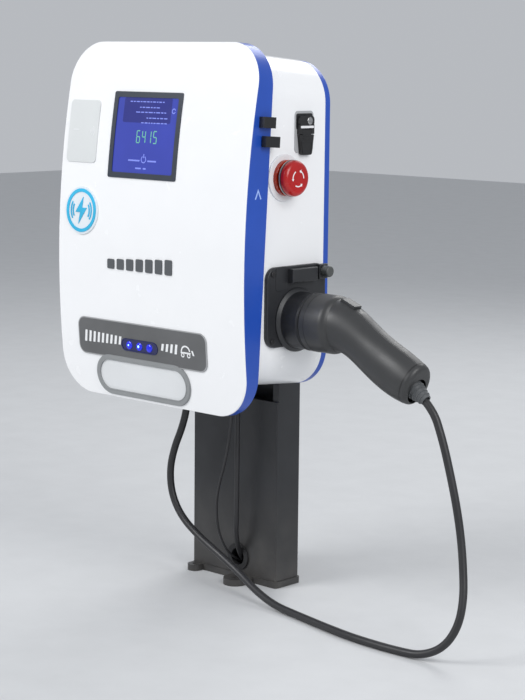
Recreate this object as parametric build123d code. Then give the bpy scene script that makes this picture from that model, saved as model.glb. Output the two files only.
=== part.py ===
from build123d import *
import os
from math import atan, cos, degrees, radians, sin, tan

# Electric vehicle charging post, in millimetres.
# Origin: centre of the column's foot on the ground. +X is the holster side, -Y the front, +Z up.

os.makedirs("parts", exist_ok=True)

# ---- driving dimensions -------------------------------------------------------------------------

COLUMN_WIDTH = 175.0
COLUMN_DEPTH = 52.4
COLUMN_TOP = 700.0
COLUMN_WALL = 3.0
COLUMN_LIP = 12.0
FOOT_THICKNESS = 10.0
FOOT_MARGIN = 2.0
TOE_X = 24.0
TOE_WIDTH = 36.0
TOE_FRONT_Y = -66.0
LUG_X = -76.0
LUG_WIDTH = 22.0
LUG_FRONT_Y = -46.0
LUG_HOLE_R = 3.5
ANCHOR_R = 5.5
ANCHOR_SPACING_X = 120.0
ANCHOR_SPACING_Y = 24.0
CONDUIT_R = 16.0
CONDUIT_X = -22.0
SLOT_BOTTOM = 285.0
GROMMET_X = 10.0
GROMMET_Z = 36.0

BOX_WIDTH = 366.0
BOX_BOTTOM = 320.7
BOX_TOP = 788.1
BOX_FALL = 0.087
BOX_CORNER = 60.0
BOX_WALL = 3.0
BOX_BACK_Y = -COLUMN_DEPTH / 2
STRIPE_DEPTH = 11.5

DOOR_WIDTH = 382.0
DOOR_HEIGHT = 519.0
DOOR_CORNER = 60.0
DOOR_MID_Z = 552.3
DOOR_BACK_Y = -166.9
DOOR_SLOPE = 0.058
DOOR_WALL = 3.0
DOOR_GAP = 5.0
FACE_DEPTH = 42.5
FACE_RADIUS = 1400.0
FACE_PEAK = 16.0
FACE_RIM = 1.5

LCD_PLACE = (-18.0, 125.8)
LCD_SIZE = (140.5, 124.0)
PAD_PLACE = (-148.4, 128.2)
PAD_SIZE = (63.0, 91.0)
BADGE_PLACE = (-140.0, 12.0)
BADGE_R = 35.0
BARS_PLACE = (-15.0, -57.7)
STRIP_PLACE = (-15.5, -172.5)
STRIP_SIZE = (267.0, 54.0)
LED_PLACE = (-18.0, -177.5)
LED_SIZE = (76.0, 18.0)
OVAL_PLACE = (-16.5, -226.0)
OVAL_SIZE = (195.0, 58.0)

HINGE_X = -189.0
HINGE_Y = 6.0
HINGE_R = 5.5
HINGE_PIN_R = 2.5
HINGE_HEIGHTS = (-150.0, 150.0)

HOLSTER_Y = -98.2
HOLSTER_Z = 427.5
FLANGE_Z = 447.5
FLANGE_HEIGHT = 113.0
COLLAR_R = 40.0
COLLAR_BORE_R = 35.0
COLLAR_FRONT_X = 225.5
NOSE_R = 31.0

GUN_HEAD_R = 41.0
GUN_HEAD_X = 228.0
GUN_HEAD_END = 274.0
GUN_WALL = 3.0
GRIP_END_X = 409.0
GRIP_END_Z = 359.5
GRIP_END_DIP = 20.0
BUTTON_X = 288.0
BUTTON_Z = 458.6
BUTTON_DIP = 21.5
LEAD_DIP = 32.0
LEAD_X = 343.0
LEAD_Z = 392.1
RELIEF_START = 62.0
RELIEF_END = 94.0
RELIEF_SEAT_R = 21.0
RELIEF_RECESS_R = 17.5
RELIEF_R = 15.4
RELIEF_BORE_R = 5.85

ESTOP_Y = -122.7
ESTOP_PLATE_R = 33.0
ESTOP_HEAD_R = 25.0
ESTOP_Z = 627.5
LOCK_Y = -83.2
LOCK_Z = 704.0
LEVER_HINGE_OUT = 4.4
LEVER_HINGE_DROP = 12.0

CHARGE_CABLE_D = 11.0
SUPPLY_CABLE_D = 7.5
DATA_CABLE_D = 4.0
CHARGE_GLAND = (-38.0, -88.0)
SUPPLY_GLAND = (30.0, -52.0)
DATA_GLAND = (40.0, -72.0)

SIDE_X = BOX_WIDTH / 2
BOX_HEIGHT = BOX_TOP - BOX_BOTTOM
BOX_MID_Z = (BOX_TOP + BOX_BOTTOM) / 2
SHELL_BACK_Y = BOX_BACK_Y - STRIPE_DEPTH
COLUMN_FRONT_Y = -COLUMN_DEPTH / 2
DOOR_TILT = degrees(atan(DOOR_SLOPE))
MOUNT_BOLTS = [(sx * 50, z) for sx in (-1, 1) for z in (480, 660)]
DOOR_PLACE = Location((0, DOOR_BACK_Y, DOOR_MID_Z), (-DOOR_TILT, 0, 0))


# ---- helpers ------------------------------------------------------------------------------------

def along_x(sketch, x0, x1):
    """Extrude a sketch drawn in Y and Z from x0 to x1."""
    return Pos(x0, 0, 0) * extrude(Plane.YZ * sketch, x1 - x0)


def along_y(sketch, y0, y1):
    """Extrude a sketch drawn in X and Z from y0 to y1."""
    return Pos(0, y1, 0) * extrude(Plane.XZ * sketch, y1 - y0)


def along_z(sketch, z0, z1):
    """Extrude a sketch drawn in X and Y from z0 to z1."""
    return Pos(0, 0, z0) * extrude(sketch, z1 - z0)


def block(x0, x1, y0, y1, z0, z1):
    """A plain box between two corners."""
    box = Box(x1 - x0, y1 - y0, z1 - z0)
    return Pos((x0 + x1) / 2, (y0 + y1) / 2, (z0 + z1) / 2) * box


def rod_x(y, z, radius, x0, x1):
    """A round bar along X."""
    return along_x(Pos(y, z) * Circle(radius), x0, x1)


def rod_y(x, z, radius, y0, y1):
    """A round bar along Y."""
    return along_y(Pos(x, z) * Circle(radius), y0, y1)


def rod_z(x, y, radius, z0, z1):
    """A round bar along Z."""
    return along_z(Pos(x, y) * Circle(radius), z0, z1)


def hexagon(x, y, apothem):
    """A hexagon with its flats a given distance from the centre."""
    return Pos(x, y) * RegularPolygon(apothem, 6, major_radius=False)


def soften(shape, edges, radius):
    """Round the edges given."""
    return fillet(edges, radius) if edges else shape


def save(name, *solids):
    """Write one node, as a single solid or a group of separate solids."""
    flat = []
    for item in solids:
        flat.extend(item.solids())
    shape = flat[0] if len(flat) == 1 else Compound(children=flat)
    shape.label = name
    export_step(shape, f"parts/{name}.step")


# ---- column and foot ----------------------------------------------------------------------------

def foot_plate():
    """Plate under the column with a front lug, a front toe, six anchor holes and a conduit hole."""
    width = COLUMN_WIDTH + 2 * FOOT_MARGIN
    depth = COLUMN_DEPTH + 2 * FOOT_MARGIN
    outline = RectangleRounded(width, depth, 6)
    outline += front_tongue(TOE_X, TOE_WIDTH, TOE_FRONT_Y)
    outline += front_tongue(LUG_X, LUG_WIDTH, LUG_FRONT_Y)
    half_hole_x = ANCHOR_SPACING_X / 2
    half_hole_y = ANCHOR_SPACING_Y / 2
    holes = [Pos(sx * half_hole_x, sy * half_hole_y) * Circle(ANCHOR_R) for sx in (-1, 1) for sy in (-1, 1)]
    holes.append(Pos(TOE_X, TOE_FRONT_Y + TOE_WIDTH / 2) * Circle(ANCHOR_R))
    holes.append(Pos(LUG_X, LUG_FRONT_Y + LUG_WIDTH / 2 - 1) * Circle(LUG_HOLE_R))
    holes.append(Pos(CONDUIT_X, 0) * Circle(CONDUIT_R))
    for hole in holes:
        outline -= hole
    return along_z(outline, 0, FOOT_THICKNESS)


def front_tongue(x, width, front_y):
    """A round-ended tongue that sticks out of the plate's front edge."""
    length = -COLUMN_DEPTH / 2 - front_y + width / 2
    return Pos(x, front_y + length / 2) * RectangleRounded(width, length, width / 2 - 0.5)


def column_channel():
    """Folded channel, open at the front between two narrow lips."""
    front = COLUMN_FRONT_Y + COLUMN_WALL
    back = COLUMN_DEPTH / 2
    half = COLUMN_WIDTH / 2
    tube = block(-half, half, front, back, FOOT_THICKNESS, COLUMN_TOP)
    tube = soften(tube, tube.edges().filter_by(Axis.Z).group_by(Axis.Y)[-1], 5)
    inner = half - COLUMN_WALL
    tube -= block(-inner, inner, front + COLUMN_WALL, back - COLUMN_WALL, 0, COLUMN_TOP + 1)
    gap = half - COLUMN_LIP
    return tube - block(-gap, gap, front - 1, front + COLUMN_WALL + 1, 0, COLUMN_TOP + 1)


def column_panel(z0, z1):
    """Flat front panel of the column."""
    half = COLUMN_WIDTH / 2
    panel = block(-half, half, COLUMN_FRONT_Y, COLUMN_FRONT_Y + COLUMN_WALL, z0, z1)
    return soften(panel, panel.edges().filter_by(Axis.Z).group_by(Axis.Y)[0], 1.5)


def make_column():
    save("foot_plate", foot_plate())
    save("column_channel", column_channel())
    lower = column_panel(FOOT_THICKNESS, SLOT_BOTTOM)
    lower -= along_y(Pos(GROMMET_X, GROMMET_Z) * Circle(16.5), COLUMN_FRONT_Y - 1, COLUMN_FRONT_Y + 5)
    upper = column_panel(BOX_BOTTOM + 4, COLUMN_TOP)
    for x, z in MOUNT_BOLTS:
        upper -= rod_y(x, z, 4.2, -40, 0)
    save("column_front_covers", lower, upper)
    half = COLUMN_WIDTH / 2
    cap = block(-half, half, COLUMN_FRONT_Y, COLUMN_DEPTH / 2, COLUMN_TOP, COLUMN_TOP + 4)
    cap = soften(cap, cap.edges().group_by(Axis.Z)[-1], 2)
    plug_half = half - COLUMN_WALL - 0.3
    plug_front = COLUMN_FRONT_Y + 2 * COLUMN_WALL + 0.3
    plug_back = COLUMN_DEPTH / 2 - COLUMN_WALL - 0.3
    cap += block(-plug_half, plug_half, plug_front, plug_back, COLUMN_TOP - 12, COLUMN_TOP)
    save("column_cap", cap)
    grommet = along_y(Pos(GROMMET_X, GROMMET_Z) * Circle(21), COLUMN_FRONT_Y - 2.5, COLUMN_FRONT_Y)
    grommet += along_y(Pos(GROMMET_X, GROMMET_Z) * Circle(16.3), COLUMN_FRONT_Y, COLUMN_FRONT_Y + 6)
    grommet -= along_y(Pos(GROMMET_X, GROMMET_Z) * Circle(13), -40, 0)
    save("cable_grommet", grommet)
    fasteners = []
    plate_front = SHELL_BACK_Y - BOX_WALL
    panel_back = COLUMN_FRONT_Y + COLUMN_WALL
    for x, z in MOUNT_BOLTS:
        bolt = rod_y(x, z, 4, plate_front, panel_back + 12)
        bolt += along_y(hexagon(x, z, 6.5), plate_front - 5.5, plate_front)
        nut = along_y(hexagon(x, z, 6.5), panel_back, panel_back + 6.5)
        fasteners += [bolt, nut - rod_y(x, z, 4.1, panel_back - 1, panel_back + 8)]
    save("mount_fasteners", *fasteners)


def flange_screw_heads():
    """Heads that hold the holster flange to the box."""
    heads = []
    for y, z in ((-51, 400), (49, 400), (-51, 495)):
        head = rod_x(HOLSTER_Y + y, z, 4, SIDE_X + 6, SIDE_X + 8)
        heads.append(soften(head, head.edges().group_by(Axis.X)[-1], 1))
    return heads


# ---- box body -----------------------------------------------------------------------------------

def box_outline(inset=0.0):
    """Rounded rectangle of the box, drawn in X and Z."""
    width = BOX_WIDTH - 2 * inset
    height = BOX_HEIGHT - 2 * inset
    return Pos(0, BOX_MID_Z) * RectangleRounded(width, height, BOX_CORNER - inset)


def box_run(inset, y0, y1):
    """The box outline carried from y0 to y1; its top and bottom fall evenly toward the back."""
    reach = (y1 - y0) * (1 + BOX_FALL ** 2) ** 0.5
    run = extrude(Plane.XZ * box_outline(inset), reach, dir=(0, -1, BOX_FALL))
    return Pos(0, y1, BOX_FALL * (BOX_BACK_Y - y1)) * run


def bottom_at(y):
    """Height of the box's underside at a given y."""
    return BOX_BOTTOM + BOX_FALL * (BOX_BACK_Y - y)


def behind_door(gap):
    """Everything behind the sloping plane that lies a given gap behind the door."""
    return DOOR_PLACE * block(-400, 400, gap, gap + 400, -500, 500)


def body_shell():
    """Open tube with a front flange, cut square to the sloping door."""
    front_reach = DOOR_BACK_Y - 60
    shell = box_run(0, front_reach, SHELL_BACK_Y) & behind_door(DOOR_GAP)
    cavity = box_run(BOX_WALL, front_reach, SHELL_BACK_Y + 1) & behind_door(DOOR_GAP + BOX_WALL)
    shell -= cavity
    shell -= box_run(24, front_reach, SHELL_BACK_Y + 1)
    for y, z, radius in ((ESTOP_Y, ESTOP_Z, 11.2), (LOCK_Y, LOCK_Z, 8.2), (HOLSTER_Y, HOLSTER_Z, 20)):
        shell -= rod_x(y, z, radius, SIDE_X - 10, SIDE_X + 5)
    for (x, y), radius in ((CHARGE_GLAND, 10.2), (SUPPLY_GLAND, 7.2), (DATA_GLAND, 5.2)):
        shell -= rod_z(x, y, radius, bottom_at(y) - 8, bottom_at(y) + 10)
    return shell


def gasket():
    """Flat rubber seal on the front flange."""
    ring = box_run(11, -260, 0) - box_run(20, -261, 1)
    return ring & (DOOR_PLACE * block(-400, 400, 0.5, DOOR_GAP, -500, 500))


def make_body():
    save("body_shell", body_shell())
    frame = box_run(0, SHELL_BACK_Y, BOX_BACK_Y) - box_run(16, SHELL_BACK_Y - 1, BOX_BACK_Y + 1)
    save("rear_stripe_frame", soften(frame, frame.edges().group_by(Axis.Y)[-1], 2))
    plate = box_run(BOX_WALL + 0.5, SHELL_BACK_Y - BOX_WALL, SHELL_BACK_Y)
    plate += along_y(Pos(0, 570) * RectangleRounded(150, 250, 8), SHELL_BACK_Y, COLUMN_FRONT_Y)
    for x, z in MOUNT_BOLTS:
        plate -= rod_y(x, z, 4.2, -60, 0)
    save("back_plate", plate)
    save("door_gasket", gasket())
    save("body_hinges", *[make(z) for z in HINGE_HEIGHTS for make in (body_leaf, hinge_pin)])
    arm = block(193, 201, -19, 9, -7.5, 7.5) + block(SIDE_X, 201, DOOR_GAP + 0.3, 9, -7.5, 7.5)
    arm -= rod_z(197, -12, 2.4, -10, 10)
    save("body_hasp", DOOR_PLACE * Pos(0, 0, 126) * arm)


# ---- hinges, in the door's own frame --------------------------------------------------------------

def body_leaf(z):
    """Leaf on the box's left side, with two knuckles."""
    leaf = block(-186, -SIDE_X, HINGE_Y, 42, z - 30, z + 30)
    for z0 in (z - 30, z + 12):
        leaf += rod_z(HINGE_X, HINGE_Y, HINGE_R, z0, z0 + 18)
    leaf -= rod_z(HINGE_X, HINGE_Y, 9, z - 12, z + 12)
    leaf -= rod_z(HINGE_X, HINGE_Y, HINGE_PIN_R + 0.02, z - 40, z + 40)
    return DOOR_PLACE * leaf


def door_leaf(z):
    """Leaf on the back of the door, with the middle knuckle."""
    leaf = block(-190, -176, 0, 2, z - 28, z + 28)
    leaf += rod_z(HINGE_X, HINGE_Y, HINGE_R, z - 11.6, z + 11.6)
    leaf += block(-193, -185.5, 0, HINGE_Y, z - 11.6, z + 11.6)
    for z0 in (z - 29, z + 11.6):
        leaf -= block(-196, -182, 0.5, 14, z0, z0 + 17.4)
    leaf -= rod_z(HINGE_X, HINGE_Y, HINGE_PIN_R + 0.06, z - 40, z + 40)
    return DOOR_PLACE * leaf


def hinge_pin(z):
    """Headed pin through all three knuckles."""
    pin = rod_z(HINGE_X, HINGE_Y, HINGE_PIN_R, z - 31.5, z + 30)
    pin += rod_z(HINGE_X, HINGE_Y, 4, z + 30, z + 32.5)
    return DOOR_PLACE * pin


# ---- door ---------------------------------------------------------------------------------------

def door_outline(inset=0.0):
    """Rounded rectangle of the door in its own frame."""
    return RectangleRounded(DOOR_WIDTH - 2 * inset, DOOR_HEIGHT - 2 * inset, DOOR_CORNER - inset)


def face_roll(depth):
    """Solid behind the bowed face, a given depth under the face itself."""
    roll = Pos(0, FACE_RADIUS - FACE_DEPTH, FACE_PEAK) * Rot(0, 90, 0) * Cylinder(FACE_RADIUS - depth, 500)
    return roll


def face_slab(sketch, top, bottom):
    """A plate that follows the bowed face; top and bottom are depths under it, negative when proud."""
    return (along_y(sketch, -60, 0) & face_roll(top)) - face_roll(bottom)


def place_on_face(x, z, sketch):
    """Move a sketch to its place on the face."""
    return Pos(x, z) * sketch


def lcd_sketch(inset):
    """Rectangle of the display."""
    width, height = LCD_SIZE
    return place_on_face(*LCD_PLACE, RectangleRounded(width - 2 * inset, height - 2 * inset, 3))


def led_sketch(inset):
    """Stadium of the light window."""
    width, height = LED_SIZE
    return place_on_face(*LED_PLACE, SlotOverall(width - 2 * inset, height - 2 * inset))


def front_panel():
    """White plate that makes the face, stepped to sit in the band, with the openings of its fittings."""
    panel = face_slab(door_outline(), 0, FACE_RIM)
    panel = soften(panel, [e for e in panel.edges() if on_face_edge(e)], 1.2)
    panel += face_slab(door_outline(DOOR_WALL + 0.3), FACE_RIM, DOOR_WALL)
    panel -= along_y(lcd_sketch(4), -60, 0)
    panel -= along_y(led_sketch(1), -60, 0)
    return panel


def on_face_edge(edge):
    """True for an edge that runs round the front of the face."""
    middle = edge.position_at(0.5)
    depth = FACE_RADIUS - Vector(0, middle.Y - (FACE_RADIUS - FACE_DEPTH), middle.Z - FACE_PEAK).length
    return abs(depth) < 0.05


def side_band():
    """Blue band behind the white face, with an inner flange at the back."""
    band = along_y(door_outline(), -60, 0) & face_roll(FACE_RIM)
    band -= along_y(door_outline(DOOR_WALL), -61, -DOOR_WALL)
    band -= along_y(door_outline(14), -61, 1)
    return band


def badge_symbol():
    """Ring and a lightning bolt."""
    ring = Circle(BADGE_R - 3) - Circle(BADGE_R - 8)
    points = [(4, 20), (-12, -3), (-2, -3), (-5, -20), (12, 4), (2, 4)]
    bolt = make_face(Polyline(*points, close=True))
    return [face_slab(place_on_face(*BADGE_PLACE, piece), -3, -2) for piece in (ring, bolt)]


def level_bars():
    """Row of raised blocks that grow like a charge level."""
    bars = []
    for index in range(7):
        height = 14 + 1.3 * index
        x = BARS_PLACE[0] - 60 + 20 * index
        bar = Pos(x, BARS_PLACE[1] - (22 - height) / 2) * RectangleRounded(14, height, 2)
        bars.append(face_slab(bar, -1.5, 0))
    return bars


def make_door():
    placed = {}
    placed["front_panel"] = [front_panel()]
    placed["side_band"] = [side_band()]
    placed["lcd_bezel"] = [face_slab(lcd_sketch(0) - lcd_sketch(8), -1.2, 0)]
    placed["lcd_glass"] = [face_slab(lcd_sketch(4.3), 0, 2.5)]
    board = place_on_face(*LCD_PLACE, Rectangle(150, 134))
    coil = place_on_face(*PAD_PLACE, Rectangle(58, 84))
    led_board = place_on_face(*LED_PLACE, Rectangle(88, 24))
    boards = [face_slab(board, 8, 14), face_slab(coil, 3.5, 5.5), face_slab(led_board, 5, 7)]
    placed["door_electronics"] = boards
    pad = place_on_face(*PAD_PLACE, RectangleRounded(*PAD_SIZE, 6))
    placed["card_reader_pad"] = [face_slab(pad, -1.5, 0)]
    badge = place_on_face(*BADGE_PLACE, Circle(BADGE_R))
    placed["badge_disc"] = [face_slab(badge, -2, 0)]
    placed["badge_symbol"] = badge_symbol()
    placed["level_bars"] = level_bars()
    strip = place_on_face(*STRIP_PLACE, RectangleRounded(*STRIP_SIZE, 13))
    strip -= place_on_face(*OVAL_PLACE, SlotOverall(OVAL_SIZE[0] + 0.4, OVAL_SIZE[1] + 0.4))
    placed["label_strip"] = [face_slab(strip - led_sketch(0.5), -1.5, 0)]
    placed["led_window"] = [face_slab(led_sketch(1.2), -2, 3)]
    oval = place_on_face(*OVAL_PLACE, SlotOverall(*OVAL_SIZE))
    inner = place_on_face(*OVAL_PLACE, SlotOverall(OVAL_SIZE[0] - 13, OVAL_SIZE[1] - 13))
    placed["oval_frame"] = [face_slab(oval - inner, -2.5, 0)]
    plate = place_on_face(*OVAL_PLACE, SlotOverall(OVAL_SIZE[0] - 13.4, OVAL_SIZE[1] - 13.4))
    placed["oval_plate"] = [face_slab(plate, -1, 0)]
    hasp = block(DOOR_WIDTH / 2, 201, -24, -1, -7.5, 7.5) - rod_z(197, -12, 2.4, -10, 10)
    placed["door_hasp"] = [Pos(0, 0, 152) * hasp]
    for name, pieces in placed.items():
        save(name, *[DOOR_PLACE * piece for piece in pieces])
    save("door_hinge_leaves", *[door_leaf(z) for z in HINGE_HEIGHTS])


# ---- electrical gear on the back plate ------------------------------------------------------------

def make_gear():
    front = SHELL_BACK_Y - BOX_WALL
    rails = []
    for z in (470, 620):
        rail = block(-140, 110, front - 7.5, front, z - 12, z + 12)
        rails.append(soften(rail, rail.edges().filter_by(Axis.X).group_by(Axis.Y)[0], 1.5))
    for x, z in MOUNT_BOLTS:
        rails = [rail - rod_y(x, z, 9, -80, 0) for rail in rails]
    save("din_rails", *rails)
    rail_front = front - 7.5
    breaker = block(-135, -64, rail_front - 60, rail_front, 577, 663)
    breaker -= block(-128, -71, rail_front - 61, rail_front - 46, 604, 636)
    breaker = soften(breaker, breaker.edges().filter_by(Axis.X).group_by(Axis.Y)[0], 2)
    pivot_y = rail_front - 53
    save("circuit_breaker", breaker - rod_x(pivot_y, 620, 1.56, -132, -67))
    toggle = rod_x(pivot_y, 620, 5, -124, -75) + rod_x(pivot_y, 620, 1.5, -131, -68)
    toggle += block(-124, -75, pivot_y - 17, pivot_y, 617.5, 622.5)
    save("breaker_toggle", toggle)
    meter = block(-56, -4, rail_front - 58, rail_front, 575, 665)
    save("energy_meter", soften(meter, meter.edges().filter_by(Axis.Z).group_by(Axis.Y)[0], 3))
    contactor = block(5, 60, rail_front - 62, rail_front, 580, 660)
    contactor += block(12, 53, rail_front - 74, rail_front - 62, 595, 645)
    blocks = []
    for index in range(8):
        x = -130 + 13 * index
        terminal = block(x, x + 12.4, rail_front - 42, rail_front, 446, 494)
        blocks.append(terminal - rod_y(x + 6.2, 482, 3, rail_front - 43, rail_front - 30))
    save("terminal_blocks", *blocks)
    supply = block(-10, 80, rail_front - 38, rail_front, 440, 500)
    supply = soften(supply, supply.edges().filter_by(Axis.Z).group_by(Axis.Y)[0], 2)
    save("rail_modules", contactor, supply)
    board = block(-130, 110, front - 17.6, front - 16, 680, 762)
    chips = []
    for x in (-110, -70, 20):
        chips += [block(x, x + 16, front - 22, front - 17.6, z, z + 16) for z in (695, 730)]
    chips += [rod_y(x, 720, 7, front - 40, front - 17.6) for x in (60, 80)]
    posts = [rod_y(x, z, 3, front - 16, front) for x in (-122, 102) for z in (688, 754)]
    save("control_board", board, *chips, *posts)


# ---- glands -------------------------------------------------------------------------------------

def gland(x, y, thread_r, bore_r):
    """Cable gland under the box: thread, hexagon cut to the sloping underside, and domed nut."""
    z = bottom_at(y)
    body = along_z(hexagon(x, y, thread_r + 2.5), z - 8, z + 2) - box_run(0, DOOR_BACK_Y, SHELL_BACK_Y)
    body += rod_z(x, y, thread_r, z - 1, z + 14)
    body += Pos(x, y, z - 16) * Cone(thread_r - 1, thread_r + 2, 16)
    return body - rod_z(x, y, bore_r, z - 40, z + 40)


def gland_nut(x, y, thread_r):
    """Lock nut inside the box, cut to its sloping floor."""
    z = bottom_at(y)
    nut = along_z(hexagon(x, y, thread_r + 3), z, z + BOX_WALL + 6)
    nut &= box_run(BOX_WALL, DOOR_BACK_Y, SHELL_BACK_Y)
    return nut - rod_z(x, y, thread_r + 0.05, z - 5, z + 20)


def make_glands():
    glands = [(CHARGE_GLAND, 10.0, CHARGE_CABLE_D), (SUPPLY_GLAND, 7.0, SUPPLY_CABLE_D)]
    glands.append((DATA_GLAND, 5.0, DATA_CABLE_D))
    save("cable_glands", *[gland(x, y, r, d / 2 + 0.4) for (x, y), r, d in glands])
    nuts = [gland_nut(x, y, r) for (x, y), r, d in glands]
    estop_nut = along_x(hexagon(ESTOP_Y, ESTOP_Z, 15), SIDE_X - 9, SIDE_X - BOX_WALL)
    nuts.append(estop_nut - rod_x(ESTOP_Y, ESTOP_Z, 11.05, SIDE_X - 20, SIDE_X))
    save("panel_nuts", *nuts)
    save("flange_screws", *flange_screw_heads())


# ---- emergency stop -------------------------------------------------------------------------------

def make_estop():
    plate = rod_x(ESTOP_Y, ESTOP_Z, ESTOP_PLATE_R, SIDE_X, SIDE_X + 3)
    plate = soften(plate, plate.edges().group_by(Axis.X)[-1], 1.2)
    plate -= rod_x(ESTOP_Y, ESTOP_Z, 11.2, SIDE_X - 5, SIDE_X + 10)
    save("estop_escutcheon", plate)
    collar = rod_x(ESTOP_Y, ESTOP_Z, ESTOP_HEAD_R, SIDE_X + 3, SIDE_X + 9)
    collar = soften(collar, collar.edges().group_by(Axis.X)[-1], 1)
    collar += rod_x(ESTOP_Y, ESTOP_Z, 11, SIDE_X - 24, SIDE_X + 3)
    collar -= rod_x(ESTOP_Y, ESTOP_Z, 7.05, SIDE_X - 30, SIDE_X + 20)
    save("estop_collar", collar)
    save("estop_plunger", rod_x(ESTOP_Y, ESTOP_Z, 7, SIDE_X - 26, SIDE_X + 22))
    head = rod_x(ESTOP_Y, ESTOP_Z, ESTOP_HEAD_R, SIDE_X + 13.8, SIDE_X + 27)
    head = soften(head, head.edges().group_by(Axis.X)[-1], 7)
    head -= rod_x(ESTOP_Y, ESTOP_Z, 7.05, SIDE_X + 10, SIDE_X + 22.3)
    save("estop_head", head)
    switch = block(SIDE_X - 68, SIDE_X - 32, ESTOP_Y - 15, ESTOP_Y + 15, ESTOP_Z - 20, ESTOP_Z + 20)
    cage = block(SIDE_X - 32, SIDE_X - 24, ESTOP_Y - 15, ESTOP_Y + 15, ESTOP_Z - 15, ESTOP_Z + 15)
    cage -= rod_x(ESTOP_Y, ESTOP_Z, 11, SIDE_X - 33, SIDE_X - 20)
    save("estop_contact_block", switch + cage)


# ---- swing-handle lock ----------------------------------------------------------------------------

def make_lock():
    bezel = along_x(Pos(LOCK_Y, LOCK_Z - 14) * RectangleRounded(38, 58, 6), SIDE_X, SIDE_X + 1.2)
    bezel -= rod_x(LOCK_Y, LOCK_Z, 8.2, SIDE_X - 5, SIDE_X + 10)
    save("lock_bezel", bezel)
    hinge_x = SIDE_X + LEVER_HINGE_OUT
    hinge_z = LOCK_Z - LEVER_HINGE_DROP
    core = rod_x(LOCK_Y, LOCK_Z, 7.5, SIDE_X - 28, SIDE_X + 1.5)
    core += along_x(Pos(LOCK_Y, LOCK_Z + 1) * RectangleRounded(30, 14, 5), SIDE_X + 1.5, SIDE_X + 7)
    for sy in (-1, 1):
        ear_y = LOCK_Y + sy * 12
        core += block(SIDE_X + 1.5, SIDE_X + 7, ear_y - 3, ear_y + 3, hinge_z - 5, hinge_z + 8)
    core -= rod_y(hinge_x, hinge_z, 1.22, LOCK_Y - 30, LOCK_Y + 30)
    cam = block(SIDE_X - 32, SIDE_X - 28, LOCK_Y - 7, LOCK_Y + 7, LOCK_Z - 32, LOCK_Z + 8)
    core += soften(cam, cam.edges().filter_by(Axis.X), 5)
    pin = rod_y(hinge_x, hinge_z, 1.2, LOCK_Y - 15, LOCK_Y + 15)
    save("lock_spindle", core, pin)
    x0 = hinge_x - 2.5
    top = hinge_z + 1.6
    neck = top - 7.6
    tip = LOCK_Z - 46
    right_side = [(8.6, top), (8.6, neck), (14.5, neck), (10.5, tip)]
    profile = [(LOCK_Y + y, z) for y, z in right_side]
    profile += [(LOCK_Y - y, z) for y, z in reversed(right_side)]
    lever = along_x(make_face(Polyline(*profile, close=True)), x0, x0 + 5)
    lever = soften(lever, lever.edges().filter_by(Axis.X).sort_by(Axis.Z)[:2], 4)
    lever = soften(lever, lever.edges().filter_by(Axis.Y).sort_by(Axis.Z)[-2:], 1.2)
    lever -= rod_y(hinge_x, hinge_z, 1.26, LOCK_Y - 30, LOCK_Y + 30)
    save("lock_lever", lever)


# ---- holster --------------------------------------------------------------------------------------

def make_holster():
    outline = Pos(HOLSTER_Y - 1, FLANGE_Z) * RectangleRounded(122, FLANGE_HEIGHT, 18)
    flange = along_x(outline, SIDE_X, SIDE_X + 6)
    flange = soften(flange, flange.edges().group_by(Axis.X)[-1], 2)
    save("holster_flange", flange)
    collar = rod_x(HOLSTER_Y, HOLSTER_Z, COLLAR_R, SIDE_X + 6, COLLAR_FRONT_X)
    collar = soften(collar, collar.edges().group_by(Axis.X)[-1], 2)
    collar -= rod_x(HOLSTER_Y, HOLSTER_Z, COLLAR_BORE_R, SIDE_X + 6, COLLAR_FRONT_X + 5)
    latch_top = HOLSTER_Z + 38.6
    collar -= block(SIDE_X + 6, COLLAR_FRONT_X + 5, HOLSTER_Y - 6, HOLSTER_Y + 6, HOLSTER_Z + 20, latch_top)
    save("holster_collar", collar)
    bar = block(SIDE_X + 6, SIDE_X + 16, HOLSTER_Y - 20, HOLSTER_Y + 33, 481, 500.5)
    bar = soften(bar, bar.edges().group_by(Axis.X)[-1], 2)
    knob_y = HOLSTER_Y + 49
    knob_z = 493.0
    bracket = block(SIDE_X + 6, SIDE_X + 12, knob_y - 9, knob_y + 9, 482, 503)
    bracket = soften(bracket, bracket.edges().group_by(Axis.X)[-1], 1.5)
    bracket -= rod_x(knob_y, knob_z, 3.06, SIDE_X, SIDE_X + 30)
    save("holster_lock_housing", bar, bracket)
    knob = rod_x(knob_y, knob_z, 3, SIDE_X + 6.5, SIDE_X + 14)
    knob += rod_x(knob_y, knob_z, 8, SIDE_X + 13, SIDE_X + 25)
    save("holster_knob", soften(knob, knob.edges().group_by(Axis.X)[-1], 2.5))


# ---- charging gun ---------------------------------------------------------------------------------

def lead_point(along):
    """A point on the line along which the lead leaves the grip."""
    dip = radians(LEAD_DIP)
    return LEAD_X + along * cos(dip), LEAD_Z - along * sin(dip)


def dipping_plane(x, z, dip_degrees):
    """Plane across the gun, square to a line that dips by an angle."""
    dip = radians(dip_degrees)
    return Plane(origin=(x, HOLSTER_Y, z), x_dir=(0, 1, 0), z_dir=(cos(dip), 0, -sin(dip)))


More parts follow.
